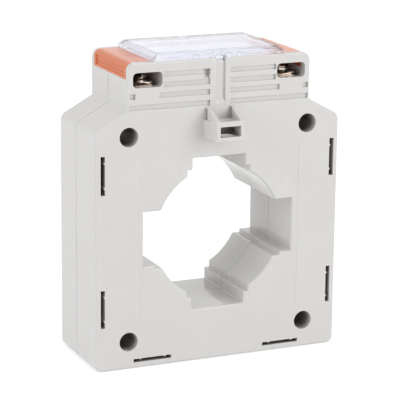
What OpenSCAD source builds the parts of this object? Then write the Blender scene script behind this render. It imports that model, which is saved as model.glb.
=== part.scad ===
// Window-type current transformer in a two-shell moulded housing, with a terminal block on top.
// Millimetres. X is across the front, Y runs from the front face to the rear, Z is up.
// The origin is at the middle of the base.

/* [Housing] */
// Width of the body
body_w = 85; // [84:0.5:90]
// Height of the window's centre, half the height of the square body
window_z = 42.5; // [42.5:0.5:44]
// Depth over both shells
body_d = 32; // [31:0.5:34]
// Depth of the front shell, up to the parting line
front_d = 17.4; // [17:0.1:18]
// Width of the terminal block
block_w = 63; // [63:0.5:64]
// Height at which the sloped shoulder leaves the side
shoulder_z = 78.2; // [77:0.1:79]
// Height at which the shoulder meets the terminal block
block_z = 84.25; // [84:0.05:84.5]
// Height of the terminal block's top edge
top_z = 99.5; // [99.5:0.1:100]
// Wall thickness of the shells
wall = 2; // [1.8:0.1:2.1]

/* [Window] */
// Radius of the round conductor's opening
round_r = 22; // [21.5:0.1:22]
// Half length of the wide busbar slot
bar_wide_x = 26.2; // [25.5:0.1:26.2]
// Half height of the wide busbar slot
bar_wide_z = 8.9; // [8.5:0.1:9]
// Half length of the shallow step under the wide slot
bar_step_x = 22.2; // [21.8:0.1:22.4]
// Depth of that step below the wide slot
bar_step_drop = 1.2; // [1:0.1:1.3]
// Half height of the tall busbar slot
bar_tall_z = 25.1; // [24.6:0.1:25.1]
// Half width of the tall busbar slot
bar_tall_x = 9.2; // [9:0.1:9.3]
// Half height of the second, wider tall slot
bar_mid_z = 21.2; // [20.8:0.1:21.3]
// Half width of the second tall slot
bar_mid_x = 10.9; // [10.7:0.1:11]
// Thickness of the window's tube wall
tube_wall = 1.5; // [1.3:0.1:1.5]

/* [Mounting] */
// Distance between the long holes across the front
hole_span_x = 62.4; // [62:0.1:63]
// Distance between the long holes up the front
hole_span_z = 67.2; // [67:0.1:67.4]
// Radius of the long holes
hole_r = 3.1; // [2.9:0.05:3.2]
// Length of the sleeves behind the narrow slots for mounting feet
foot_slot_d = 5.2; // [4.6:0.1:5.2]

/* [Terminals] */
// Distance of each screw from the centre plane
terminal_x = 24.9; // [24.8:0.1:25]
// Distance of each screw from the near face of the housing
screw_y = 8.3; // [8:0.1:8.6]
// Height of the wire opening's centre
entry_z = 93.95; // [93.9:0.05:94]
// Half length of the wire opening
entry_half = 5; // [4.9:0.05:5]
// Half height of the wire opening
entry_r = 2.4; // [2.3:0.05:2.4]
// Corner radius of the wire opening
entry_corner_r = 1.4; // [1:0.1:2]
// Width of a terminal bar
bar_w = 6; // [5.6:0.1:6]
// Thickness of a terminal bar
bar_t = 3; // [3:0.05:3.05]
// Radius of the screws' M3.5 thread
thread_r = 1.75; // [1.74:0.01:1.76]
// Radius of a screw head
head_r = 2.8; // [2.7:0.05:2.9]
// Height of a screw head
head_h = 2.2; // [2.1:0.05:2.3]

/* [Covers] */
// Thickness of the orange caps' top
cap_t = 1.4; // [1.3:0.05:1.5]
// Thickness of the orange caps' side
cap_side_t = 1.1; // [1:0.05:1.15]
// How far the caps' side reaches down from the top edge
cap_drop = 5.35; // [5.2:0.05:5.4]
// Half width of the clear cover
cover_x = 22.8; // [22.7:0.05:22.8]
// Height of the clear cover's top face
cover_top_z = 102; // [101.8:0.1:102.2]
// Width of the clear cover's bevel
cover_bevel = 1.6; // [1.4:0.1:1.7]
// Wall thickness of the clear cover
cover_t = 1; // [0.9:0.05:1]

/* [Nut holder] */
// How far the nut holder stands out from the front face
boss_d = 8.3; // [8.2:0.1:8.6]
// Half width of the nut holder at its front
boss_x = 4.7; // [4.7:0.05:4.9]
// Half width of the nut holder at its foot on the face
boss_foot_x = 5.6; // [5.3:0.1:5.8]
// Height of the nut holder's underside
boss_z = 74.3; // [74.1:0.1:74.4]
// Radius of the vertical hole for the clamping screw
boss_hole_r = 2.15; // [2.1:0.05:2.2]
// Distance of that hole from the front face
boss_hole_y = 5.1; // [4.8:0.1:5.1]

/* [Coil] */
// Inner radius of the taped winding
coil_ri = 29.95; // [29.95:0.01:30]
// Outer radius of the taped winding
coil_ro = 39.55; // [39.4:0.05:39.6]
// Length of the taped winding along the window's axis
coil_len = 18.1; // [17.6:0.1:18.4]

/* [Hidden] */
$fn = 96;

grey = "#d9d8d4";
orange = "#e5683a";
nickel = "#b9b7b0";
copper = "#b5662e";
cream = "#e6dfc8";

// Tiny overlap that keeps cuts open at a face
eps = 0.01;
rear_d = body_d - front_d;
half_w = body_w / 2;
half_block = block_w / 2;

// Corners of the housing's outline, anticlockwise from the lower left, as [x, z, radius]
corners = [
  [-half_w, 0, 2], [half_w, 0, 2], [half_w, shoulder_z, 3], [half_block, block_z, 0],
  [half_block, top_z, 2.5], [-half_block, top_z, 2.5], [-half_block, block_z, 0],
  [-half_w, shoulder_z, 3]
];

// Levels in the terminal block
bar_top_z = entry_z - 2.25;
bar_low_z = bar_top_z - bar_t;
floor_t = 1.5;
deck_z = top_z - 1.1;
deck_t = 1.8;
cap_under_z = top_z - cap_t;
cap_low_z = top_z - cap_drop;
rim_t = 0.8;
inlay_y = 2;
ledge_y = 3;
gap = 0.05;
well_in_x = terminal_x - entry_half;
well_out_x = terminal_x + entry_half;
well_wall = 1.5;
deck_x = cover_x + 0.1;
cap_in_x = deck_x + 0.1;
flange_x = half_block - cap_side_t;
cap_fillet = 1.2;
lead_r = 0.8;

// The grooves on the block's faces, with the height of each one's lower edge
groove_d = 0.8;
groove_h = 1.7;
groove_zs = [block_z + 0.2, 88, 91.3, 94.6];
channel_x = 1.75;
channel_edge_x = 3.55;
channel_d = 0.9;
latch_x = -5.7;
latch_w = 1.95;

// The clear cover's snap legs, as x of each
leg_xs = [-7.7, -3.6, 3.6, 7.7];
leg_w = 2;
leg_t = 0.9;
leg_low_z = 94.9;
lug_x = 1.45;

// Narrow slots for mounting feet, as [centre x, centre z, width, height]
foot_slots = [
  [-40, 64.35, 1.5, 12.6],
  [-40.05, 20.7, 1.5, 12.6],
  [40.3, 64.15, 1.6, 12.5],
  [40.15, 20.6, 1.5, 12.4],
  [-22.95, 2.35, 13.2, 1.2],
  [22.85, 2.3, 13, 1.2]
];

function unit(v) = v / norm(v);
function inward(a, b) = let (d = unit([b[0] - a[0], b[1] - a[1]])) [-d[1], d[0]];
function at(list, i) = list[(i + len(list)) % len(list)];
// A corner moved inwards by d, where the two offset sides meet
function inset_point(i, d) =
  let (n1 = inward(at(corners, i - 1), corners[i]), n2 = inward(corners[i], at(corners, i + 1)))
  [corners[i][0], corners[i][1]] + (n1 + n2) * d / (1 + n1 * n2);
function inset_outline(d) = [for (i = [0:len(corners) - 1]) inset_point(i, d)];

// What a rounded corner takes away from the sharp one
module corner_cut(before, p, after, r) {
  u = unit(before - p);
  v = unit(after - p);
  half = acos(u * v) / 2;
  t = r / tan(half);
  centre = p + unit(u + v) * r / sin(half);
  difference() {
    polygon([p - unit(u + v) * eps, p + u * t, centre, p + v * t]);
    translate(centre) circle(r);
  }
}

// The housing's outline seen from the front, inset by d
module outline(d = 0) {
  pts = inset_outline(d);
  difference() {
    polygon(pts);
    for (i = [0:len(pts) - 1])
      if (corners[i][2] - d > 1.2)
        corner_cut(at(pts, i - 1), pts[i], at(pts, i + 1), corners[i][2] - d);
  }
}

// A flat front-view shape given depth, from y0 to y1 behind the near face
module slab(y0, y1) {
  translate([0, y1, 0]) rotate([90, 0, 0]) linear_extrude(height = y1 - y0) children();
}

module box(x0, x1, y0, y1, z0, z1) {
  translate([x0, y0, z0]) cube([x1 - x0, y1 - y0, z1 - z0]);
}

// The same thing on both sides of the centre plane
module both() {
  children();
  mirror([1, 0, 0]) children();
}

// The window's outline, grown by g
module window(g = 0) {
  translate([0, window_z]) {
    circle(round_r + g);
    square([2 * (bar_wide_x + g), 2 * (bar_wide_z + g)], center = true);
    translate([-bar_step_x - g, -bar_wide_z - bar_step_drop - g])
      square([2 * (bar_step_x + g), bar_wide_z]);
    square([2 * (bar_tall_x + g), 2 * (bar_tall_z + g)], center = true);
    square([2 * (bar_mid_x + g), 2 * (bar_mid_z + g)], center = true);
  }
}

module long_holes(r) {
  for (x = [-1, 1], z = [-1, 1])
    translate([x * hole_span_x / 2, window_z + z * hole_span_z / 2]) circle(r);
}

// Everything between the shells' walls that stays hollow
module cavity() {
  difference() {
    outline(wall);
    both() translate([well_in_x - well_wall, bar_low_z - floor_t]) square([20, 20]);
    translate([-40, deck_z - deck_t]) square([80, 10]);
  }
}

// A narrow slot with two small grip bumps on the side towards the window
module foot_slot(s, grow = 0) {
  upright = s[3] > s[2];
  difference() {
    translate([s[0], s[1]]) square([s[2] + 2 * grow, s[3] + 2 * grow], center = true);
    if (grow == 0)
      for (k = [-0.32, 0.32])
        translate(upright ? [s[0] - sign(s[0]) * s[2] / 2, s[1] + k * s[3]]
                          : [s[0] + k * s[2], s[1] + s[3] / 2])
          circle(0.35, $fn = 24);
  }
}

// The wire opening: a slot with rounded corners
module entry() {
  translate([terminal_x, entry_z]) offset(entry_corner_r)
    square([2 * (entry_half - entry_corner_r), 2 * (entry_r - entry_corner_r)], center = true);
}

// The grooves on one side of a block face, drawn for the right-hand side
module grooves() {
  pad0 = well_in_x + 1;
  pad1 = well_out_x - 0.8;
  for (i = [0:3]) {
    z = groove_zs[i];
    if (i == 0) translate([channel_edge_x, z]) square([half_block - channel_edge_x - 0.4, groove_h]);
    if (i == 1) {
      translate([channel_edge_x, z]) square([pad0 - channel_edge_x, groove_h]);
      translate([pad1, z]) square([half_block - pad1 - 0.4, groove_h]);
    }
    if (i > 1) translate([channel_edge_x, z]) square([well_in_x - channel_edge_x - 0.4, groove_h]);
  }
}

// Room inside the block for one terminal, its cap and its screws, on the right-hand side
module well(depth) {
  box(well_in_x, well_out_x, ledge_y, depth + eps, bar_low_z, deck_z - deck_t);
  box(well_in_x, well_out_x, ledge_y, depth + eps, bar_low_z, cap_low_z);
  box(deck_x, flange_x - gap, ledge_y, depth + eps, cap_low_z - gap, top_z + 1);
  box(well_in_x, deck_x + eps, ledge_y, depth + eps, bar_low_z, deck_z - deck_t);
  box(deck_x, half_block + 1, inlay_y, depth + eps, cap_under_z, top_z + 1);
  box(flange_x - gap, half_block + 1, inlay_y, depth + eps, cap_low_z - gap, top_z + 1);
  translate([terminal_x, screw_y, bar_low_z - floor_t - 1]) cylinder(r = 2.2, h = floor_t + 2, $fn = 48);
  translate([terminal_x, screw_y, deck_z - deck_t - 1]) cylinder(r = head_r + 0.5, h = deck_t + 2);
  // way through the floor for the lead, and room on the ledge for the fillet inside the cap
  translate([terminal_x, body_d / 2, bar_low_z - floor_t - 1])
    cylinder(r = lead_r + 0.2, h = floor_t + 2, $fn = 32);
  box(flange_x - cap_fillet, flange_x, inlay_y, ledge_y + eps, cap_under_z - cap_fillet, cap_under_z + eps);
  slab(-1, ledge_y + eps) entry();
}

// One shell, drawn with its outer face at y = 0
module shell(depth) {
  difference() {
    union() {
      difference() {
        union() {
          slab(0, depth - 0.2) outline();
          slab(depth - 0.21, depth) outline(0.15);
        }
        slab(wall, depth + eps) cavity();
      }
      slab(0, depth) window(tube_wall);
      slab(0, depth) long_holes(hole_r + 1.5);
      for (a = [0:90:270])
        slab(1, (body_d - coil_len) / 2)
          translate([0, window_z]) rotate(a) translate([(coil_ri + coil_ro) / 2, 0]) circle(2, $fn = 48);
    }
    slab(-1, depth + 2) window();
    slab(depth - 0.2, depth + 2) window(0.15);
    slab(-1, depth + 2) long_holes(hole_r);
    both() well(depth);
    both() slab(-1, groove_d) grooves();
    box(-deck_x, deck_x, rim_t, depth + eps, deck_z, top_z + 1);
    for (x = leg_xs)
      box(x - leg_w / 2 - 0.2, x + leg_w / 2 + 0.2, 2, 3.4, deck_z - deck_t - 1, deck_z + 1);
  }
}

// An upright block on the face that narrows from foot_x there to front_x at the nut holder's front
module tapered(foot_x, front_x, z0, z1) {
  translate([0, 0, z0]) linear_extrude(height = z1 - z0)
    polygon([[-foot_x, eps], [-front_x, -boss_d], [front_x, -boss_d], [foot_x, eps]]);
}

// The nut holder for the busbar's clamping screw, standing out of the front face.
// Two ribs run from its front rim up to the block and stay clear of the face between.
module nut_holder() {
  trough_z = boss_z + 5.7;
  rim_z = boss_z + 6.15;
  rim_y = 1;
  rib_in = 3.55;
  rib_gap = 0.9;
  rib_foot_x = boss_x + 0.25;
  flat_y = 2.9;
  // the pocket takes an M4 nut, pushed in from the front
  nut_z = boss_z + 1.15;
  nut_h = 3.45;
  nut_back = 0.9;
  difference() {
    intersection() {
      union() {
        tapered(boss_foot_x, boss_x, boss_z - 1, trough_z);
        tapered(rib_foot_x, boss_x, trough_z - eps, block_z);
      }
      rotate([90, 0, 90]) translate([0, 0, -boss_foot_x]) linear_extrude(height = 2 * boss_foot_x)
        polygon([
          [eps, boss_z - 0.7], [-flat_y, boss_z], [-boss_d, boss_z],
          [-boss_d, rim_z], [eps, block_z]
        ]);
    }
    box(-rib_in, rib_in, -boss_d - 1, 0, rim_z, block_z + 1);
    box(-rib_in, rib_in, rim_y - boss_d, 0, trough_z, block_z + 1);
    box(-boss_foot_x, boss_foot_x, -rib_gap, 0, trough_z, block_z - 0.8);
    box(-rib_in, rib_in, -boss_d - 1, -nut_back, nut_z, nut_z + nut_h);
    translate([0, -boss_hole_y, boss_z - 2]) cylinder(r = boss_hole_r, h = 10, $fn = 64);
  }
}

module front_housing() {
  color(grey) translate([0, -body_d / 2, 0]) difference() {
    union() {
      shell(front_d);
      nut_holder();
      for (s = foot_slots) slab(0, foot_slot_d) intersection() {
        foot_slot(s, 1);
        outline();
      }
    }
    for (s = foot_slots) slab(-1, foot_slot_d + eps) foot_slot(s);
    // shallow field round the window left by the tool's insert
    slab(-1, 0.12) difference() {
      translate([-28.5, 15]) square([57, 55]);
      window(-1);
    }
    // upright channel in the middle of the block, running out at its foot
    rotate([90, 0, 90]) translate([0, 0, -channel_x]) linear_extrude(height = 2 * channel_x)
      polygon([[-1, 84.8], [0, 84.8], [channel_d, 86.5], [channel_d, 110], [-1, 110]]);
    box(-channel_x, channel_x, -1, rim_t + 1, deck_z, top_z + 1);
    // latch window with a sloped floor
    translate([latch_x, 0, 0]) rotate([90, 0, 90]) linear_extrude(height = latch_w)
      polygon([[-1, 92.6], [0, 92.6], [1.9, 94.4], [1.9, 96.3], [-1, 96.3]]);
    // rebate that takes the rear shell's lip
    slab(front_d - 1.6, front_d + eps) lip(1, 0.75);
  }
}

// The lip between the shells: half a wall thick, outside from o and round the window from w
module lip(o, w) {
  intersection() {
    difference() {
      outline(o);
      outline(wall + eps);
    }
    translate([-50, -1]) square([100, 86]);
  }
  difference() {
    window(tube_wall + eps);
    window(w);
  }
}

module rear_housing() {
  color(grey) translate([0, body_d / 2, 0]) mirror([0, 1, 0]) union() {
    shell(rear_d);
    slab(rear_d - 1, rear_d + 1.5) intersection() {
      difference() {
        lip(1.05, 0.8);
        window(0.8);
      }
      translate([-50, -1]) square([100, 85.9]);
    }
  }
}

// The clear cover's outer form at inset d: straight sides, then a bevel all round
module cover_form(d, z0) {
  x = cover_x - d;
  y = body_d / 2 - rim_t - 0.1 - d;
  z1 = cover_top_z - d;
  zb = z1 - cover_bevel + 0.4 * d;
  b = z1 - zb;
  intersection() {
    translate([0, 50, 0]) rotate([90, 0, 0]) linear_extrude(height = 100)
      polygon([[-x, z0], [x, z0], [x, zb], [x - b, z1], [b - x, z1], [-x, zb]]);
    translate([-50, 0, 0]) rotate([90, 0, 90]) linear_extrude(height = 100)
      polygon([[-y, z0], [y, z0], [y, zb], [y - b, z1], [b - y, z1], [-y, zb]]);
  }
}

module label_cover() {
  y_in = body_d / 2 - rim_t - 0.1 - cover_t;
  leg_y = body_d / 2 - 2.1;
  color([0.9, 0.95, 1, 0.4]) {
    difference() {
      cover_form(0, deck_z);
      cover_form(cover_t, deck_z - 1);
      for (s = [-1, 1]) translate([0, s * (y_in + 0.5), deck_z]) cube([2 * lug_x, 2, 2.9], center = true);
    }
    for (s = [0, 180], x = leg_xs) rotate(s) {
      box(x - leg_w / 2, x + leg_w / 2, -y_in - 0.3, -leg_y + leg_t, deck_z, cover_top_z - 1.8);
      box(x - leg_w / 2, x + leg_w / 2, -leg_y, -leg_y + leg_t, leg_low_z, deck_z + 0.5);
    }
    for (s = [0, 180]) rotate(s)
      box(-lug_x, lug_x, -y_in - 0.1, 1.5 - y_in, deck_z + 1.45, cover_top_z - 0.7);
  }
}

module rating_label() {
  color("#eceded") box(2 - deck_x, deck_x - 2, -12.4, 12.4, deck_z, deck_z + 0.4);
}

// An orange cap: an L in section, with three finger grooves along its side
module terminal_cap() {
  y = body_d / 2 - inlay_y - 2 * gap;
  corner_r = cap_fillet;
  inner_x = flange_x - corner_r;
  inner_z = cap_under_z - corner_r;
  groove_r = 0.45;
  difference() {
    translate([0, y, 0]) rotate([90, 0, 0]) linear_extrude(height = 2 * y) difference() {
      intersection() {
        outline();
        translate([cap_in_x, cap_low_z]) square([20, 10]);
      }
      translate([cap_in_x - 1, cap_low_z - 1]) square([inner_x - cap_in_x + 1, cap_under_z - cap_low_z + 1]);
      translate([inner_x - 1, cap_low_z - 1]) square([corner_r + 1, inner_z - cap_low_z + 1]);
      translate([inner_x, inner_z]) circle(corner_r);
    }
    for (i = [0:2])
      translate([half_block, y - 1.4, 95.3 + 1.1 * i]) rotate([90, 0, 0])
        cylinder(r = groove_r, h = 2 * y - 2.8, $fn = 32);
  }
  box(cap_in_x, cap_in_x + 0.9, -4, 4, cap_under_z - 3, cap_under_z + 0.2);
}

module terminal_cap_left() {
  color(orange) mirror([1, 0, 0]) terminal_cap();
}

module terminal_cap_right() {
  color(orange) terminal_cap();
}

// Screw positions along a terminal bar, seen from the middle
screw_off = body_d / 2 - screw_y;

module terminal_bar(x) {
  y = body_d / 2 - ledge_y - 0.2;
  color(nickel) translate([x, 0, 0]) difference() {
    box(-bar_w / 2, bar_w / 2, -y, y, bar_low_z, bar_top_z);
    for (s = [-1, 1]) translate([0, s * screw_off, bar_low_z - 1])
      cylinder(r = thread_r + 0.05, h = bar_t + 2);
  }
}

module terminal_bar_left() {
  terminal_bar(-terminal_x);
}

module terminal_bar_right() {
  terminal_bar(terminal_x);
}

washer_t = 0.9;

// A saddle washer: a square plate whose sides turn down over the bar
module clamp_washer(x, y) {
  half = 3.5;
  lip = 1.2;
  color(nickel) translate([x, y, bar_top_z]) difference() {
    union() {
      box(-half, half, -half, half, 0, washer_t);
      both() box(bar_w / 2 + gap, half, -half + 0.6, half - 0.6, -lip, washer_t);
    }
    translate([0, 0, -1]) cylinder(r = thread_r + 0.1, h = 3);
  }
}

module clamp_washer_left_front() {
  clamp_washer(-terminal_x, -screw_off);
}

module clamp_washer_left_rear() {
  clamp_washer(-terminal_x, screw_off);
}

module clamp_washer_right_front() {
  clamp_washer(terminal_x, -screw_off);
}

module clamp_washer_right_rear() {
  clamp_washer(terminal_x, screw_off);
}

// A pan-head screw with a slot and a cross in its head
module clamp_screw(x, y) {
  shank = washer_t + bar_t + 1.1;
  edge = 0.7;
  color(nickel) translate([x, y, bar_top_z + washer_t]) difference() {
    union() {
      rotate_extrude() {
        square([head_r, head_h - edge]);
        square([head_r - edge, head_h]);
        translate([head_r - edge, head_h - edge]) intersection() {
          circle(edge, $fn = 48);
          square(edge);
        }
      }
      translate([0, 0, -shank]) cylinder(r = thread_r, h = shank + 0.1);
    }
    translate([-head_r - 1, -0.45, head_h - 0.9]) cube([2 * head_r + 2, 0.9, 2]);
    translate([-0.45, -1.8, head_h - 1.3]) cube([0.9, 3.6, 2]);
    translate([-1.8, -0.45, head_h - 1.3]) cube([3.6, 0.9, 2]);
  }
}

module clamp_screw_left_front() {
  clamp_screw(-terminal_x, -screw_off);
}

module clamp_screw_left_rear() {
  clamp_screw(-terminal_x, screw_off);
}

module clamp_screw_right_front() {
  clamp_screw(terminal_x, -screw_off);
}

module clamp_screw_right_rear() {
  clamp_screw(terminal_x, screw_off);
}

// Layers of the coil, from the tape inwards
tape_t = 0.25;
copper_t = 0.85;
cup_t = 0.6;
layer_gap = 0.05;
core_ri = coil_ri + tape_t + copper_t + cup_t + 3 * layer_gap;
core_ro = coil_ro - tape_t - copper_t - cup_t - 3 * layer_gap;
core_len = coil_len - 2 * (tape_t + copper_t + cup_t);

// A ring round the window's axis from the section drawn by its child.
// A gap of the given angle is left at the top, where the leads come out.
module ring(gap_angle) {
  translate([0, 0, window_z]) rotate([90, 0, 0])
    rotate([0, 0, 90 + gap_angle / 2]) rotate_extrude(angle = 360 - gap_angle, $fn = 180) children();
}

module ring_section(ri, ro, length) {
  translate([ri, -length / 2]) square([ro - ri, length]);
}

module ring_core() {
  color("#6d7074") translate([0, 0, window_z]) rotate([90, 0, 0])
    rotate_extrude($fn = 180) ring_section(core_ri, core_ro, core_len);
}

// The cup is open at the rear, where the lid closes it
module core_cup() {
  ri = core_ri - cup_t - layer_gap;
  ro = core_ro + cup_t + layer_gap;
  color(cream) translate([0, 0, window_z]) rotate([90, 0, 0]) rotate_extrude($fn = 180) difference() {
    translate([ri, -core_len / 2]) square([ro - ri, core_len + cup_t]);
    translate([core_ri - layer_gap, -core_len / 2 - 1])
      square([core_ro - core_ri + 2 * layer_gap, core_len + 1]);
  }
}

module core_lid() {
  color(cream) translate([0, core_len / 2 + cup_t, window_z]) rotate([90, 0, 0])
    rotate_extrude($fn = 180) translate([core_ri - cup_t - layer_gap, 0])
      square([core_ro - core_ri + 2 * (cup_t + layer_gap), cup_t]);
}

module secondary_winding() {
  ri = coil_ri + tape_t + layer_gap;
  ro = coil_ro - tape_t - layer_gap;
  length = coil_len - 2 * tape_t;
  color(copper) ring(8) difference() {
    ring_section(ri, ro, length);
    ring_section(ri + copper_t, ro - copper_t, length - 2 * copper_t);
  }
}

module winding_tape() {
  color("#e9c46a") ring(14) difference() {
    ring_section(coil_ri, coil_ro, coil_len);
    ring_section(coil_ri + tape_t, coil_ro - tape_t, coil_len - 2 * tape_t);
  }
}

// A lead from the winding's end up to the underside of a terminal bar, drawn to the right
module lead() {
  r = lead_r;
  bend = 2.5;
  x0 = 3.7;
  z0 = window_z + coil_ro - 0.9;
  z_run = 84.9;
  translate([x0, 0, z0]) cylinder(r = r, h = z_run - bend - z0, $fn = 32);
  translate([x0 + bend, 0, z_run - bend]) rotate([90, 0, 0])
    rotate_extrude(angle = 90, start = 90, $fn = 48) translate([bend, 0]) circle(r, $fn = 32);
  translate([x0 + bend, 0, z_run]) rotate([0, 90, 0])
    cylinder(r = r, h = terminal_x - x0 - 2 * bend, $fn = 32);
  translate([terminal_x - bend, 0, z_run + bend]) rotate([90, 0, 0])
    rotate_extrude(angle = 90, start = 270, $fn = 48) translate([bend, 0]) circle(r, $fn = 32);
  translate([terminal_x, 0, z_run + bend])
    cylinder(r = r, h = bar_low_z - z_run - bend, $fn = 32);
}

module lead_left() {
  color("#b03030") mirror([1, 0, 0]) lead();
}

module lead_right() {
  color("#b03030") lead();
}

front_housing();
rear_housing();
label_cover();
rating_label();
terminal_cap_left();
terminal_cap_right();
terminal_bar_left();
terminal_bar_right();
clamp_screw_left_front();
clamp_screw_left_rear();
clamp_screw_right_front();
clamp_screw_right_rear();
clamp_washer_left_front();
clamp_washer_left_rear();
clamp_washer_right_front();
clamp_washer_right_rear();
ring_core();
core_cup();
core_lid();
secondary_winding();
winding_tape();
lead_left();
lead_right();
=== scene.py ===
"""Looks of a window-type current transformer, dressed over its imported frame.

The sections follow the way the real one goes together: core, coil and leads, then the two shells,
the terminals, the caps, the label and its clear cover, and last the floor, the light and the camera.
Lengths are written in millimetres and divided by METRE where Blender takes metres. Only the floor,
the lamps and the camera are placed in metres.
"""
import math

import bmesh
import bpy
import numpy as np
from mathutils import Matrix, Vector


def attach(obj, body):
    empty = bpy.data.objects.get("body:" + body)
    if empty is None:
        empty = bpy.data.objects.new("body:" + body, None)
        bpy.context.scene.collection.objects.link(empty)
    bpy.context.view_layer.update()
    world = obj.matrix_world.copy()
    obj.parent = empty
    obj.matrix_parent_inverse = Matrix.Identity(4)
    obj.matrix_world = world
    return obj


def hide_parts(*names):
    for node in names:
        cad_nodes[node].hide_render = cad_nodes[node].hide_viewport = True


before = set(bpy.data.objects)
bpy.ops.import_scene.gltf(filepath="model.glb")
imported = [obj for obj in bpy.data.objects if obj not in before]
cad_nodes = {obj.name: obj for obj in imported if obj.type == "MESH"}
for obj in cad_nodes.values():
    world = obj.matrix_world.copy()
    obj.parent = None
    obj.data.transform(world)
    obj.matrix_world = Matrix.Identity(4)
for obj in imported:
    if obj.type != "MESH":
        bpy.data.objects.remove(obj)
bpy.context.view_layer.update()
scene = bpy.context.scene


# The ring core. A long strip of silicon steel is wound up like a roll of tape, so its flat ends show
# fine rings a strip's thickness apart and its rim is one smooth blued turn.

METRE = 1000
WINDOW_Z = 42.5
STRIP_THICK = 0.3


def linear(code):
    """An sRGB colour written as six hex digits, as the linear colour that a shader takes."""
    srgb = np.array([int(code[i:i + 2], 16) for i in (0, 2, 4)]) / 255
    return (*np.where(srgb <= 0.04045, srgb / 12.92, ((srgb + 0.055) / 1.055) ** 2.4), 1.0)


def put(tree, kind, out=None, inputs=None, **settings):
    """Adds one shader node, sets its options, gives each named input a value or a link, and gives back
    the output called out, or the node itself where none is named."""
    node = tree.nodes.new("ShaderNode" + kind)
    for key, value in settings.items():
        setattr(node, key, value)
    for key, value in (inputs or {}).items():
        if isinstance(value, bpy.types.NodeSocket):
            tree.links.new(value, node.inputs[key])
        else:
            node.inputs[key].default_value = value
    return node.outputs[out] if out else node


def new_material(name):
    """An empty material, with its tree and the piece's own coordinates, which are in metres."""
    material = bpy.data.materials.new(name)
    material.use_nodes = True
    tree = material.node_tree
    tree.nodes.clear()
    return material, tree, put(tree, "TexCoord", "Object")


def coat_node(node, material):
    """Gives a CAD node that stays its better material."""
    cad_nodes[node].data.materials.clear()
    cad_nodes[node].data.materials.append(material)


# Annealed silicon steel: a dark blued shine in clouds, over rings as fine as the strip is thick. A
# noise texture makes about one lump a unit, so a scale of METRE / 9 gives lumps 9 mm across, and a
# wave texture turns by 20 radians a unit.
core_steel, tree, where = new_material("core_steel")
about_window = put(tree, "Mapping", "Vector", {"Vector": where, "Location": (0, 0, -WINDOW_Z / METRE)})
rings = put(tree, "TexWave", "Fac", {
    "Vector": about_window, "Scale": 2 * math.pi / 20 * METRE / STRIP_THICK, "Distortion": 0.6,
}, wave_type="RINGS", rings_direction="Y")
bluing = put(tree, "TexNoise", "Fac", {"Vector": where, "Scale": METRE / 9})
colour = put(tree, "Mix", "Result", {
    "Factor": bluing, "A": linear("53585e"), "B": linear("7a7f84")}, data_type="RGBA")
roughness = put(tree, "MapRange", "Result", {"Value": bluing, "To Min": 0.34, "To Max": 0.5})
relief = put(tree, "Bump", "Normal", {"Height": rings, "Distance": 0.06 / METRE, "Strength": 0.7})
steel = put(tree, "BsdfPrincipled", "BSDF", {
    "Base Color": colour, "Metallic": 1.0, "Roughness": roughness, "Normal": relief})
put(tree, "OutputMaterial", inputs={"Surface": steel})
coat_node("ring_core", core_steel)


# The core's cup and lid. Moulded in cream nylon to keep the wire off the steel's sharp rims; the lid
# is pressed on from the rear.

# Moulded nylon: a waxy cream, a little mottled, with a pebbled skin that is drawn coarser than it is.
core_plastic, tree, where = new_material("core_plastic")
mottle = put(tree, "TexNoise", "Fac", {"Vector": where, "Scale": METRE / 7})
pebbles = put(tree, "TexNoise", "Fac", {"Vector": where, "Scale": METRE / 0.4, "Detail": 4})
colour = put(tree, "Mix", "Result", {
    "Factor": mottle, "A": linear("e3dac2"), "B": linear("d8ceb2")}, data_type="RGBA")
roughness = put(tree, "MapRange", "Result", {"Value": mottle, "To Min": 0.45, "To Max": 0.6})
relief = put(tree, "Bump", "Normal", {"Height": pebbles, "Distance": 0.02 / METRE, "Strength": 0.6})
nylon = put(tree, "BsdfPrincipled", "BSDF", {
    "Base Color": colour, "Roughness": roughness, "Normal": relief})
put(tree, "OutputMaterial", inputs={"Surface": nylon})
coat_node("core_cup", core_plastic)
coat_node("core_lid", core_plastic)


# The secondary winding. Enamelled copper wire, wound turn after turn through the ring by a shuttle;
# the turns touch on the inside and fan out round the rim, with a gap at the top for the leads.

WIRE_R = 0.4
WIRE_SIDES = 6
TURNS = 196
STEPS_PER_TURN = 24
COIL_MID_R = 34.75
COIL_HALF_R = 4.08
COIL_HALF_Y = 8.38
CORNER_POWER = 6
FIRST_TURN_AT = math.radians(94.6)
LAST_TURN_AFTER = math.radians(350.8)


def skin(name, points):
    """A grid of points in millimetres, [along, across], made a closed tube of quads: the last point
    across joins the first, and the first and last rings are filled."""
    n_along, n_across = points.shape[:2]
    ring = np.arange(n_along * n_across).reshape(n_along, n_across)
    index = np.hstack([ring, ring[:, :1]])
    corners = [index[:-1, :-1], index[:-1, 1:], index[1:, 1:], index[1:, :-1]]
    faces = np.stack(corners, -1).reshape(-1, 4).tolist()
    faces += [ring[0, ::-1].tolist(), ring[-1].tolist()]
    mesh = bpy.data.meshes.new(name)
    mesh.from_pydata((points.reshape(-1, 3) / METRE).tolist(), [], faces)
    mesh.shade_smooth()
    piece = bpy.data.objects.new(name, mesh)
    scene.collection.objects.link(piece)
    return piece


def tube(path, r, sides, across):
    """A round tube of radius r along a path of points: at each point a circle square to the path.
    across is a direction at each point that is never along the path, to set the circle's start."""
    ahead = np.gradient(path, axis=0)
    ahead /= np.linalg.norm(ahead, axis=1, keepdims=True)
    first = np.cross(ahead, across)
    first /= np.linalg.norm(first, axis=1, keepdims=True)
    second = np.cross(ahead, first)
    turn = np.linspace(0, 2 * math.pi, sides, endpoint=False)[:, None]
    return path[:, None] + r * (np.cos(turn) * first[:, None] + np.sin(turn) * second[:, None])


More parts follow.
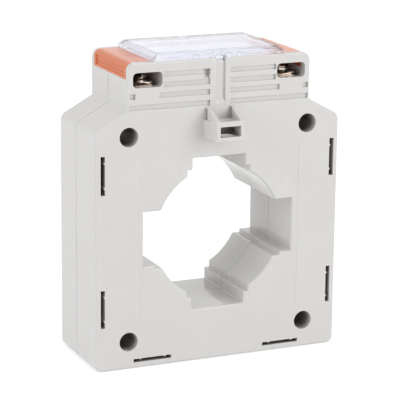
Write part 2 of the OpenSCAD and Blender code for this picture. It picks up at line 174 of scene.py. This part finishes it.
def toroid_path():
    """The wire's middle: round a section whose corners are rounded as a superellipse's, while the
    section itself travels round the ring; and with it the direction of that travel."""
    t = np.linspace(0, 1, TURNS * STEPS_PER_TURN + 1)
    ring = FIRST_TURN_AT + LAST_TURN_AFTER * t
    turn = 2 * math.pi * TURNS * t
    bent = [np.sign(f) * np.abs(f) ** (2 / CORNER_POWER) for f in (np.cos(turn), np.sin(turn))]
    out = COIL_MID_R + COIL_HALF_R * bent[0]
    path = np.stack([out * np.cos(ring), COIL_HALF_Y * bent[1], WINDOW_Z + out * np.sin(ring)], -1)
    return path, np.stack([-np.sin(ring), 0 * ring, np.cos(ring)], -1)


# Copper under baked enamel: a warm metal shine with a clear coat over it, darker in patches.
enamelled_wire, tree, where = new_material("enamelled_wire")
patches = put(tree, "TexNoise", "Fac", {"Vector": where, "Scale": METRE / 3.5})
kinks = put(tree, "TexNoise", "Fac", {"Vector": where, "Scale": METRE / 0.6, "Detail": 3})
colour = put(tree, "Mix", "Result", {
    "Factor": patches, "A": linear("b4602c"), "B": linear("8f4420")}, data_type="RGBA")
roughness = put(tree, "MapRange", "Result", {"Value": patches, "To Min": 0.22, "To Max": 0.34})
relief = put(tree, "Bump", "Normal", {"Height": kinks, "Distance": 0.02 / METRE, "Strength": 0.5})
enamel = put(tree, "BsdfPrincipled", "BSDF", {
    "Base Color": colour, "Metallic": 0.75, "Roughness": roughness, "Coat Weight": 0.6,
    "Coat Roughness": 0.12, "Normal": relief})
put(tree, "OutputMaterial", inputs={"Surface": enamel})
path, along_ring = toroid_path()
winding = skin("copper_turns", tube(path, WIRE_R, WIRE_SIDES, along_ring))
winding.data.materials.append(enamelled_wire)
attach(winding, "housing")
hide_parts("secondary_winding")


# The outer wrapping. Amber polyester tape, half overlapped round the finished coil by hand, so each
# lap leaves a fine step slanting across it.

LAPS = 46
SLANT = 22.0

# Polyester film tape: glossy amber with fine creases, and a darker line and a step along each lap. The
# laps are counted by the angle round the ring, and slant by SLANT turns a metre of depth.
coil_tape, tree, where = new_material("coil_tape")
about_window = put(tree, "Mapping", "Vector", {"Vector": where, "Location": (0, 0, -WINDOW_Z / METRE)})
turned = put(tree, "Mapping", "Vector", {"Vector": about_window, "Rotation": (math.pi / 2, 0, 0)})
angle = put(tree, "TexGradient", "Fac", {"Vector": turned}, gradient_type="RADIAL")
depth = put(tree, "SeparateXYZ", "Y", {"Vector": where})
slanted = put(tree, "Math", "Value", {0: depth, 1: SLANT, 2: angle}, operation="MULTIPLY_ADD")
laps = put(tree, "Math", "Value", {0: slanted, 1: float(LAPS)}, operation="MULTIPLY")
lap = put(tree, "Math", "Value", {0: laps}, operation="FRACT")
edge = put(tree, "MapRange", "Result", {"Value": lap, "From Max": 0.12, "To Min": 1.0, "To Max": 0.0})
creases = put(tree, "TexNoise", "Fac", {"Vector": where, "Scale": METRE / 2.5, "Detail": 3})
colour = put(tree, "Mix", "Result", {
    "Factor": edge, "A": linear("d9a441"), "B": linear("b67f24")}, data_type="RGBA")
roughness = put(tree, "MapRange", "Result", {"Value": creases, "To Min": 0.16, "To Max": 0.34})
creased = put(tree, "Bump", "Normal", {"Height": creases, "Distance": 0.2 / METRE, "Strength": 0.5})
stepped = put(tree, "Bump", "Normal", {
    "Height": edge, "Distance": 0.06 / METRE, "Strength": 0.8, "Normal": creased})
polyester = put(tree, "BsdfPrincipled", "BSDF", {
    "Base Color": colour, "Roughness": roughness, "Coat Weight": 0.4, "Coat Roughness": 0.1,
    "Normal": stepped})
put(tree, "OutputMaterial", inputs={"Surface": polyester})
coat_node("winding_tape", coil_tape)


# The leads. Stranded wire in red-brown insulation, brought from the coil's gap up to the underside of
# the terminal bars, where each is soldered.

# Extruded soft PVC: a dull red-brown with a low sheen, scuffed darker and rougher in spots.
lead_insulation, tree, where = new_material("lead_insulation")
scuffs = put(tree, "TexNoise", "Fac", {"Vector": where, "Scale": METRE / 1.6, "Detail": 4})
dents = put(tree, "TexNoise", "Fac", {"Vector": where, "Scale": METRE / 0.8})
colour = put(tree, "Mix", "Result", {
    "Factor": scuffs, "A": linear("a8332c"), "B": linear("8c2420")}, data_type="RGBA")
roughness = put(tree, "MapRange", "Result", {"Value": scuffs, "To Min": 0.3, "To Max": 0.5})
relief = put(tree, "Bump", "Normal", {"Height": dents, "Distance": 0.03 / METRE, "Strength": 0.5})
soft_pvc = put(tree, "BsdfPrincipled", "BSDF", {
    "Base Color": colour, "Roughness": roughness, "Normal": relief})
put(tree, "OutputMaterial", inputs={"Surface": soft_pvc})
coat_node("lead_left", lead_insulation)
coat_node("lead_right", lead_insulation)


# The two shells. Light grey flame-retardant plastic from one pair of tools, with a fine eroded grain
# and softly broken edges; the rear one slides its lip into the front one and is welded there.

HALF_WIDTH = 42.5
HALF_DEPTH = 16
SIDE_TOP_Z = 78.2
SHOULDER_Z = 84.25
BLOCK_HALF_WIDTH = 31.5
BLOCK_TOP_Z = 99.5
RIGHT_SIDE = np.array([(HALF_WIDTH, 0), (HALF_WIDTH, SIDE_TOP_Z), (BLOCK_HALF_WIDTH, SHOULDER_Z),
                       (BLOCK_HALF_WIDTH, BLOCK_TOP_Z)])
OUTLINE = np.vstack([RIGHT_SIDE, RIGHT_SIDE[::-1] * (-1, 1)])
WINDOW_REACH = 28
SLOT_HALF_WIDTH = 26
SLOT_HALF_HEIGHT = 25
HOLE_OFF_X = 31.2
HOLE_OFF_Z = 33.6
NUT_Y = -21.1
SHARP_DEG = 24


def edge_turn(tree, radius, samples):
    """0 on flat ground and up to 1 at an edge: how far a normal rounded over that radius leaves the
    true one."""
    rounded = put(tree, "Bevel", "Normal", {"Radius": radius / METRE}, samples=samples)
    flat = put(tree, "NewGeometry", "Normal")
    along = put(tree, "VectorMath", "Value", {0: rounded, 1: flat}, operation="DOT_PRODUCT")
    return put(tree, "MapRange", "Result", {
        "Value": along, "From Min": 0.75, "To Min": 1.0, "To Max": 0.0})


def inside_window(tree, where):
    """1 on the window's walls and 0 on the faces and outside: the point's distance from the window's
    axis and its depth behind the face are each ramped, and the two are multiplied."""
    flat = put(tree, "Mapping", "Vector", {
        "Vector": where, "Location": (0, 0, -WINDOW_Z / METRE), "Scale": (1, 0, 1)})
    off_axis = put(tree, "VectorMath", "Value", {0: flat}, operation="LENGTH")
    near_axis = put(tree, "MapRange", "Result", {
        "Value": off_axis, "From Min": (WINDOW_REACH - 0.1) / METRE, "From Max": WINDOW_REACH / METRE,
        "To Min": 1.0, "To Max": 0.0})
    y = put(tree, "SeparateXYZ", "Y", {"Vector": where})
    off_middle = put(tree, "Math", "Value", {0: y}, operation="ABSOLUTE")
    behind_face = put(tree, "MapRange", "Result", {
        "Value": off_middle, "From Min": (HALF_DEPTH - 0.5) / METRE,
        "From Max": (HALF_DEPTH - 0.1) / METRE, "To Min": 1.0, "To Max": 0.0})
    return put(tree, "Math", "Value", {0: near_axis, 1: behind_face}, operation="MULTIPLY")


def moulded(name, light, dark, edge_highlight, hole_shade, roughness, grain_mm, grain_depth):
    """Moulded plastic: two close tones in soft clouds, an eroded grain, slow waves from cooling, a
    painted highlight along the edges, paler where the rounded normal leaves the flat one, a painted
    shade deep inside holes and slots, where hardly any of the sky over the surface is open, and a
    calmer, shinier skin in the window."""
    material, tree, where = new_material(name)
    clouds = put(tree, "TexNoise", "Fac", {"Vector": where, "Scale": METRE / 14, "Detail": 3})
    body = put(tree, "Mix", "Result", {
        "Factor": clouds, "A": linear(light), "B": linear(dark)}, data_type="RGBA")
    # Painted shade: a dark tone mixed in where ambient occlusion finds the surface closed in, deep in
    # holes, slots and grooves.
    open_sky = put(tree, "AmbientOcclusion", "AO", {"Distance": 12 / METRE}, samples=8, only_local=True)
    out_of_holes = put(tree, "MapRange", "Result", {
        "Value": open_sky, "From Max": 0.4}, interpolation_type="SMOOTHSTEP")
    body = put(tree, "Mix", "Result", {
        "Factor": out_of_holes, "A": linear(hole_shade), "B": body}, data_type="RGBA")
    # Painted highlight: a paler tone along the rounded edges, broken up by noise.
    highlight_breaks = put(tree, "TexNoise", "Fac", {"Vector": where, "Scale": METRE / 2.2, "Detail": 4})
    uneven = put(tree, "MapRange", "Result", {"Value": highlight_breaks, "To Min": 0.5, "To Max": 1.0})
    painted_edge_light = put(tree, "Math", "Value", {0: edge_turn(tree, 0.5, 4), 1: uneven}, operation="MULTIPLY")
    colour = put(tree, "Mix", "Result", {
        "Factor": painted_edge_light, "A": body, "B": linear(edge_highlight)}, data_type="RGBA")

    in_window = inside_window(tree, where)
    swells = put(tree, "TexNoise", "Fac", {"Vector": where, "Scale": METRE / 17, "Detail": 1})
    swell_strength = put(tree, "MapRange", "Result", {"Value": in_window, "To Min": 0.6, "To Max": 0.2})
    waves = put(tree, "Bump", "Normal", {
        "Height": swells, "Distance": 0.12 / METRE, "Strength": swell_strength})
    eroded = put(tree, "TexNoise", "Fac", {
        "Vector": where, "Scale": METRE / grain_mm, "Detail": 3, "Roughness": 0.6})
    grain = put(tree, "Bump", "Normal", {
        "Height": eroded, "Distance": grain_depth / METRE, "Strength": 0.7, "Normal": waves})

    smears = put(tree, "TexNoise", "Fac", {"Vector": where, "Scale": METRE / 5, "Detail": 3})
    sheen = put(tree, "MapRange", "Result", {
        "Value": smears, "To Min": roughness - 0.05, "To Max": roughness + 0.05})
    polish = put(tree, "MapRange", "Result", {"Value": in_window, "To Min": 1.0, "To Max": 0.25})
    satin = put(tree, "Math", "Value", {0: sheen, 1: polish}, operation="MULTIPLY")
    plastic = put(tree, "BsdfPrincipled", "BSDF", {
        "Base Color": colour, "Roughness": satin, "Normal": grain})
    put(tree, "OutputMaterial", inputs={"Surface": plastic})
    return material


def merged_copy(node, name):
    """A copy of a CAD node's loose triangles, joined into one skin with its flat faces made whole."""
    mesh = cad_nodes[node].data.copy()
    mesh.name = name
    work = bmesh.new()
    work.from_mesh(mesh)
    bmesh.ops.remove_doubles(work, verts=work.verts, dist=0.003 / METRE)
    bmesh.ops.dissolve_limit(work, angle_limit=math.radians(0.6), verts=work.verts, edges=work.edges)
    work.to_mesh(mesh)
    work.free()
    mesh.materials.clear()
    mesh.shade_smooth()
    mesh.set_sharp_from_angle(angle=math.radians(SHARP_DEG))
    piece = bpy.data.objects.new(name, mesh)
    scene.collection.objects.link(piece)
    return piece


def read(items, key, width, kind=float):
    """One property of a mesh's items as an array with that many columns."""
    flat = np.empty(len(items) * width, kind)
    items.foreach_get(key, flat)
    return flat.reshape(-1, width) if width > 1 else flat


def edge_facts(mesh):
    """Middle and direction of every edge in millimetres, the angle its two faces make, and whether
    it stands out: the smaller face's middle then lies behind the larger face's plane."""
    points = read(mesh.vertices, "co", 3) * METRE
    ends = points[read(mesh.edges, "vertices", 2, np.int32)]
    normals = read(mesh.polygons, "normal", 3)
    middles = read(mesh.polygons, "center", 3) * METRE
    areas = read(mesh.polygons, "area", 1)
    loops_of_face = read(mesh.polygons, "loop_total", 1, np.int32)
    face_of_loop = np.repeat(np.arange(len(mesh.polygons)), loops_of_face)
    edge_of_loop = read(mesh.loops, "edge_index", 1, np.int32)
    order = np.argsort(edge_of_loop, kind="stable")
    every_edge = np.arange(len(mesh.edges))
    first = np.searchsorted(edge_of_loop[order], every_edge)
    last = np.searchsorted(edge_of_loop[order], every_edge, side="right") - 1
    one, other = face_of_loop[order][first], face_of_loop[order][last]
    big = np.where(areas[one] > areas[other], one, other)
    small = np.where(areas[one] > areas[other], other, one)
    turn = np.degrees(np.arccos(np.clip(np.sum(normals[one] * normals[other], 1), -1, 1)))
    out = np.sum((middles[small] - ends[:, 0]) * normals[big], 1) < 0
    return ends.mean(1), ends[:, 1] - ends[:, 0], turn, out


def even_normals(piece):
    """Shades each flat face flat up to its rounded edges: a corner's normal follows its largest face."""
    normals = piece.modifiers.new("normals", "WEIGHTED_NORMAL")
    normals.mode = "FACE_AREA"
    normals.weight = 100
    normals.keep_sharp = True


def round_edges(piece, width_of, widest):
    """Rounds chosen edges: width_of gives each edge's width in millimetres from its facts, and each
    edge's bevel weight is its share of the widest."""
    mesh = piece.data
    middle, direction, turn, out = edge_facts(mesh)
    width = np.where(turn > SHARP_DEG, width_of(middle, direction, out), 0)
    weight = mesh.attributes.new("bevel_weight_edge", "FLOAT", "EDGE")
    weight.data.foreach_set("value", (width / widest).astype(np.float32))
    bevel = piece.modifiers.new("edges", "BEVEL")
    bevel.limit_method = "WEIGHT"
    bevel.width = widest / METRE
    bevel.segments = 3
    bevel.use_clamp_overlap = False
    bevel.loop_slide = False
    bevel.miter_outer = "MITER_SHARP"
    even_normals(piece)


def off_outline(x, z):
    """Distance of points from the housing's outline, the shortest one to its sides."""
    best = np.full(x.shape, np.inf)
    for start, end in zip(OUTLINE, np.roll(OUTLINE, -1, axis=0)):
        side = end - start
        t = np.clip(((x - start[0]) * side[0] + (z - start[1]) * side[1]) / (side @ side), 0, 1)
        best = np.minimum(best, np.hypot(x - start[0] - t * side[0], z - start[1] - t * side[1]))
    return best


def shell_edge_width(middle, direction, out):
    """The window and the outline's rim are broken most, then its steps and the long holes, then the
    nut holder; grooves stay crisp. Edges are told apart by where their middles lie."""
    x, y, z = middle.T
    run = np.abs(direction[:, 1])
    off_x, off_z = np.abs(x), np.abs(z - WINDOW_Z)
    on_block = z > SHOULDER_Z + 0.15
    face = np.abs(np.abs(y) - HALF_DEPTH) < 0.15
    rim = face & out & (off_outline(x, z) < np.where(on_block, 0.1, 0.95)) & (run < 0.01)
    corner = face & out & (off_x > BLOCK_HALF_WIDTH - 2.6) & (z > BLOCK_TOP_Z - 2.6)
    block_side = rim & (off_x > BLOCK_HALF_WIDTH - 0.1) & on_block
    in_slots = (off_x < SLOT_HALF_WIDTH + 0.5) & (off_z < SLOT_HALF_HEIGHT + 0.4)
    in_window = in_slots & (np.hypot(off_x, off_z) < WINDOW_REACH - 0.4)
    window_rim = face & out & in_window
    window_step = in_window & (run > 10)
    holder = (y < -HALF_DEPTH - 0.2) & (off_x < 6) & out & (np.hypot(x, y - NUT_Y) > 2.4)
    hole = face & out & (np.hypot(off_x - HOLE_OFF_X, off_z - HOLE_OFF_Z) < 3.3)
    groove = (y < 0.7 - HALF_DEPTH) & on_block & (z < BLOCK_TOP_Z - 1.5) & (run < 0.3) & ~corner
    width = np.zeros(len(x))
    width[groove] = 0.12
    width[window_step] = 0.3
    width[hole] = 0.25
    width[holder] = 0.15
    width[window_rim] = 0.5
    width[rim | corner] = 0.42
    width[block_side & ~corner] = 0.2
    return width


# Flame-retardant ABS from an eroded tool: satin light grey, and glossier in the window, which a
# polished core forms. The grain is drawn coarser than it is, to show.
# Its edges get a paler painted highlight, and its holes and slots a brown-grey painted shade.
housing_plastic = moulded("housing_plastic", light="dcdbd9", dark="d7d5d2", edge_highlight="efeeec", hole_shade="55432f",
                          roughness=0.3, grain_mm=0.34, grain_depth=0.009)
for node, name in (("front_housing", "front_shell"), ("rear_housing", "rear_shell")):
    shell = merged_copy(node, name)
    shell.data.materials.append(housing_plastic)
    round_edges(shell, shell_edge_width, widest=0.5)
    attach(shell, "housing")
    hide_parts(node)


# The terminal bars. Sawn from drawn brass bar, tapped twice and nickel-plated; each lies in its well
# with a lead soldered underneath.

def soften(piece, width):
    """Breaks every sharp edge of a piece by the same small width, in millimetres."""
    bevel = piece.modifiers.new("edges", "BEVEL")
    bevel.limit_method = "ANGLE"
    bevel.angle_limit = math.radians(30)
    bevel.width = width / METRE
    bevel.segments = 2
    even_normals(piece)


def plated(name, bright, dull, painted_edge_light, roughness, grain_mm, stretch):
    """Nickel plate: bright streaks on a darker ground, a fine grain that is drawn coarse enough to show,
    and a glint painted along the edges. With a near-black ground the streaks are painted glints and the
    ground a painted dark reflection. stretch is the pattern's scale on each axis, and a small one draws
    streaks and grain out along that axis."""
    material, tree, where = new_material(name)
    drawn = put(tree, "Mapping", "Vector", {"Vector": where, "Scale": stretch})
    film = put(tree, "TexNoise", "Fac", {"Vector": drawn, "Scale": METRE / (3 * grain_mm)})
    # With a near-black ground these streaks are painted glints on a painted dark reflection.
    streaks = put(tree, "MapRange", "Result", {"Value": film, "From Min": 0.48, "From Max": 0.62})
    body = put(tree, "Mix", "Result", {
        "Factor": streaks, "A": linear(dull), "B": linear(bright)}, data_type="RGBA")
    # Painted glint: a paler colour along the rounded edges.
    colour = put(tree, "Mix", "Result", {
        "Factor": edge_turn(tree, 0.2, 8), "A": body, "B": linear(painted_edge_light)}, data_type="RGBA")
    patches = put(tree, "TexNoise", "Fac", {"Vector": where, "Scale": METRE / 1.8, "Detail": 4})
    shine = put(tree, "MapRange", "Result", {
        "Value": patches, "To Min": roughness - 0.06, "To Max": roughness + 0.1})
    lines = put(tree, "TexNoise", "Fac", {"Vector": drawn, "Scale": METRE / grain_mm, "Detail": 3})
    relief = put(tree, "Bump", "Normal", {"Height": lines, "Distance": 0.015 / METRE, "Strength": 0.5})
    plate = put(tree, "BsdfPrincipled", "BSDF", {
        "Base Color": colour, "Metallic": 1.0, "Roughness": shine, "Normal": relief})
    put(tree, "OutputMaterial", inputs={"Surface": plate})
    return material


# Nickel over drawn brass: a warm pale metal with long streaks down the bar, and a glint painted along
# its edges.
nickel_brass = plated("nickel_brass", bright="cdbcae", dull="a39283", painted_edge_light="f0e2d6", roughness=0.24,
                      grain_mm=0.3, stretch=(1, 0.08, 1))
for side in ("left", "right"):
    bar = merged_copy("terminal_bar_" + side, "bar_" + side)
    bar.data.materials.append(nickel_brass)
    soften(bar, 0.2)
    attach(bar, "housing")
    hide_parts("terminal_bar_" + side)


# The clamping screws and their saddle washers. The washer is stamped from sheet and turned down over
# the bar; the M3.5 pan-head screw is cold-headed, rolled and nickel-plated.

SCREW_X = 24.9
SCREW_Y = 7.7
HEAD_UNDER_Z = 92.6
SHANK_END_Z = 87.6
THREAD_PITCH = 0.6
THREAD_R = 1.73
ROOT_R = 1.4
TIP_R = 1.15
LEAD_IN = 0.7
THREAD_ROWS = 76
THREAD_SIDES = 36


def thread_surface(x, y, z0, z1):
    """A thread as one radius over angle and height: a triangle wave in each pitch, which climbs once a
    turn, made steeper and cut off flat at root and crest. Over the lead-in the tip grows from its
    own radius to the root's and the ridge from nothing."""
    height = np.linspace(z0, z1, THREAD_ROWS)[:, None]
    angle = np.linspace(0, 2 * math.pi, THREAD_SIDES, endpoint=False)[None, :]
    phase = (height - z0) / THREAD_PITCH - angle / (2 * math.pi)
    triangle = 1 - np.abs(2 * (phase % 1) - 1)
    ridge = np.clip(2.6 * triangle - 0.7, 0, 1)
    grown = np.clip((height - z0) / LEAD_IN, 0, 1)
    r = TIP_R + (ROOT_R - TIP_R) * grown + (THREAD_R - ROOT_R) * ridge * grown
    return np.stack([x + r * np.cos(angle), y + r * np.sin(angle), height + 0 * angle], -1)


# Bright nickel over steel: small sharp glints painted as pale streaks and along the edges, on a
# near-black ground painted as the dark things that it mirrors.
nickel_steel = plated("nickel_steel", bright="cfc3b8", dull="2a1f19", painted_edge_light="cbbcae", roughness=0.14,
                      grain_mm=0.25, stretch=(0.15, 0.15, 1))
for side, x_sign in (("left", -1), ("right", 1)):
    for end, y_sign in (("front", -1), ("rear", 1)):
        place = f"{side}_{end}"
        washer = merged_copy("clamp_washer_" + place, "washer_" + place)
        washer.data.materials.append(nickel_steel)
        soften(washer, 0.12)
        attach(washer, "washer_" + place)
        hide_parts("clamp_washer_" + place)

        screw = merged_copy("clamp_screw_" + place, "screw_" + place)
        work = bmesh.new()
        work.from_mesh(screw.data)
        shank = [vert for vert in work.verts if vert.co.z < (HEAD_UNDER_Z - 0.01) / METRE]
        bmesh.ops.delete(work, geom=shank, context="VERTS")
        bmesh.ops.holes_fill(work, edges=[edge for edge in work.edges if edge.is_boundary])
        work.to_mesh(screw.data)
        work.free()
        soften(screw, 0.1)
        thread = skin("thread_" + place, thread_surface(
            x_sign * SCREW_X, y_sign * SCREW_Y, SHANK_END_Z, HEAD_UNDER_Z + 0.1))
        for part in (screw, thread):
            part.data.materials.append(nickel_steel)
            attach(part, "screw_" + place)
        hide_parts("clamp_screw_" + place)


# The terminal caps. Moulded in orange plastic with three finger grooves along the side; each is
# pushed into its seat over the screws and holds by friction.

# Orange ABS: glossier than the shells, with a paler painted highlight along its edges and a brown-red
# painted shade where a groove is deep.
cap_plastic = moulded("cap_plastic", light="e07b44", dark="da723c", edge_highlight="ea8a58", hole_shade="93381c",
                      roughness=0.2, grain_mm=0.3, grain_depth=0.007)
for side in ("left", "right"):
    cap = merged_copy("terminal_cap_" + side, "cap_moulding_" + side)
    cap.data.materials.append(cap_plastic)
    soften(cap, 0.22)
    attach(cap, "cap_" + side)
    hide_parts("terminal_cap_" + side)


# The rating label. A bare plate of pale polyester film, cut to size and stuck to the deck under the
# cover.

# Polyester film: a cool near white, half matt, with a trace of cloud and a slow buckle.
label_film, tree, where = new_material("label_film")
haze = put(tree, "TexNoise", "Fac", {"Vector": where, "Scale": METRE / 1.2, "Detail": 4})
buckles = put(tree, "TexNoise", "Fac", {"Vector": where, "Scale": METRE / 9})
colour = put(tree, "Mix", "Result", {
    "Factor": haze, "A": linear("f2f4f8"), "B": linear("eaecf0")}, data_type="RGBA")
roughness = put(tree, "MapRange", "Result", {"Value": haze, "To Min": 0.5, "To Max": 0.62})
relief = put(tree, "Bump", "Normal", {"Height": buckles, "Distance": 0.15 / METRE, "Strength": 0.6})
sheet = put(tree, "BsdfPrincipled", "BSDF", {
    "Base Color": colour, "Roughness": roughness, "Normal": relief})
put(tree, "OutputMaterial", inputs={"Surface": sheet})
film = merged_copy("rating_label", "label_sheet")
film.data.materials.append(label_film)
soften(film, 0.1)
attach(film, "housing")
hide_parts("rating_label")


# The clear cover. Moulded polycarbonate with a bevel all round, snapped into the deck by eight legs;
# it keeps the label clean and can be lifted off and sealed.

# Polycarbonate: clear, with a grey shade painted along its edges and a slight ripple. A wall this thin
# hardly bends light, so a share of what the eye sees comes straight through, and lamps shine through it.
clear_plastic, tree, where = new_material("clear_plastic")
ripples = put(tree, "TexNoise", "Fac", {"Vector": where, "Scale": METRE / 6})
relief = put(tree, "Bump", "Normal", {"Height": ripples, "Distance": 0.06 / METRE, "Strength": 0.5})
# Painted shade: grey along the rounded edges.
colour = put(tree, "Mix", "Result", {
    "Factor": edge_turn(tree, 0.3, 8), "A": linear("f8f8fb"), "B": linear("c4c4cc")}, data_type="RGBA")
smears = put(tree, "TexNoise", "Fac", {"Vector": where, "Scale": METRE / 3, "Detail": 3})
roughness = put(tree, "MapRange", "Result", {"Value": smears, "To Min": 0.02, "To Max": 0.06})
bent = put(tree, "BsdfPrincipled", "BSDF", {
    "Base Color": colour, "Transmission Weight": 1.0, "IOR": 1.5, "Normal": relief,
    "Roughness": roughness})
straight = put(tree, "BsdfTransparent", "BSDF", {"Color": colour})
to_lamp = put(tree, "LightPath", "Is Shadow Ray")
share = put(tree, "MapRange", "Result", {"Value": to_lamp, "To Min": 0.35, "To Max": 1.0})
mixed = put(tree, "MixShader", "Shader", {0: share, 1: bent, 2: straight})
put(tree, "OutputMaterial", inputs={"Surface": mixed})
cover = merged_copy("label_cover", "cover_moulding")
cover.data.materials.append(clear_plastic)
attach(cover, "clear_cover")
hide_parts("label_cover")


# The floor, the light and the camera. A pale sheet under soft boxes, seen from the front left and a
# little above, as in the picture. The floor lies a hair below the feet.

FLOOR_HALF = 3.0
FLOOR_Z = -0.0002
LIT_SPOT = (0, 0, 0.05)
WHITE = (1, 1, 1, 1)


def looked_at(tree):
    """1 for rays that come straight from the camera, or by a mirror or a clear piece, and 0 for light:
    the largest of the three."""
    rays = put(tree, "LightPath")
    seen = rays.outputs["Is Camera Ray"]
    for kind in ("Is Glossy Ray", "Is Transmission Ray"):
        seen = put(tree, "Math", "Value", {0: seen, 1: rays.outputs[kind]}, operation="MAXIMUM")
    return seen


# A matt paper sheet: nearly white and hardly clouded, with a glow that only the eye sees.
floor_sheet, tree, where = new_material("floor_sheet")
clouds = put(tree, "TexNoise", "Fac", {"Vector": where, "Scale": METRE / 300})
pale = put(tree, "Mix", "Result", {
    "Factor": clouds, "A": linear("f2f2f2"), "B": linear("eeeeee")}, data_type="RGBA")
matt = put(tree, "BsdfPrincipled", "BSDF", {
    "Base Color": pale, "Roughness": 0.9, "Specular IOR Level": 0.2})
strength = put(tree, "MapRange", "Result", {"Value": looked_at(tree), "To Min": 0.0, "To Max": 0.4})
glow = put(tree, "Emission", "Emission", {"Color": WHITE, "Strength": strength})
lit = put(tree, "AddShader", "Shader", {0: matt, 1: glow})
put(tree, "OutputMaterial", inputs={"Surface": lit})
corners = [(x * FLOOR_HALF, y * FLOOR_HALF, FLOOR_Z) for x, y in ((-1, -1), (1, -1), (1, 1), (-1, 1))]
floor = bpy.data.objects.new("floor", bpy.data.meshes.new("floor"))
floor.data.from_pydata(corners, [], [(0, 1, 2, 3)])
floor.data.materials.append(floor_sheet)
scene.collection.objects.link(floor)

# The room round it: plain white to the eye, and an even, softer light from all sides.
world = bpy.data.worlds.new("studio")
world.use_nodes = True
scene.world = world
tree = world.node_tree
tree.nodes.clear()
strength = put(tree, "MapRange", "Result", {"Value": looked_at(tree), "To Min": 0.55, "To Max": 1.0})
backdrop = put(tree, "Background", "Background", {"Color": WHITE, "Strength": strength})
put(tree, "OutputWorld", inputs={"Surface": backdrop})


def soft_box(name, spot, size, power, colour=(1, 1, 1)):
    """A square lamp at spot, in metres, turned to face the lit spot."""
    lamp = bpy.data.lights.new(name, "AREA")
    lamp.color = colour
    lamp.shape = "SQUARE"
    lamp.size = size
    lamp.energy = power
    holder = bpy.data.objects.new(name, lamp)
    holder.location = spot
    holder.rotation_euler = (Vector(LIT_SPOT) - Vector(spot)).to_track_quat("-Z", "Y").to_euler()
    scene.collection.objects.link(holder)


soft_box("key_light", spot=(-1.3, -0.15, 0.6), size=1.0, power=6.2, colour=(0.96, 0.965, 1))
soft_box("fill_light", spot=(0.8, -1.15, 0.5), size=0.9, power=8.35)
soft_box("top_light", spot=(-0.1, 0.1, 1.4), size=1.0, power=2.0)
soft_box("rear_light", spot=(0.6, 1.35, 0.55), size=1.0, power=0.5)


def photo_camera(target, azimuth, elevation, roll, distance, lens):
    """A camera that looks at target from azimuth and elevation, in degrees, leaning by roll."""
    a, e, r = (math.radians(v) for v in (azimuth, elevation, roll))
    back = Vector((math.sin(a) * math.cos(e), -math.cos(a) * math.cos(e), math.sin(e)))
    right = Vector((math.cos(a), math.sin(a), 0))
    up = back.cross(right)
    right, up = right * math.cos(r) + up * math.sin(r), up * math.cos(r) - right * math.sin(r)
    camera = bpy.data.objects.new("camera", bpy.data.cameras.new("camera"))
    camera.data.sensor_width = 36
    camera.data.lens = lens
    camera.data.clip_start = 0.01
    camera.data.clip_end = 20
    camera.matrix_world = Matrix((right, up, back)).transposed().to_4x4()
    camera.location = Vector(target) + back * distance
    scene.collection.objects.link(camera)
    return camera


scene.camera = photo_camera(target=(-0.006727, -0.016, 0.053757), azimuth=-23.998, elevation=14.204,
                            roll=0.615, distance=0.6142, lens=172.53)
scene.view_settings.view_transform = "Standard"
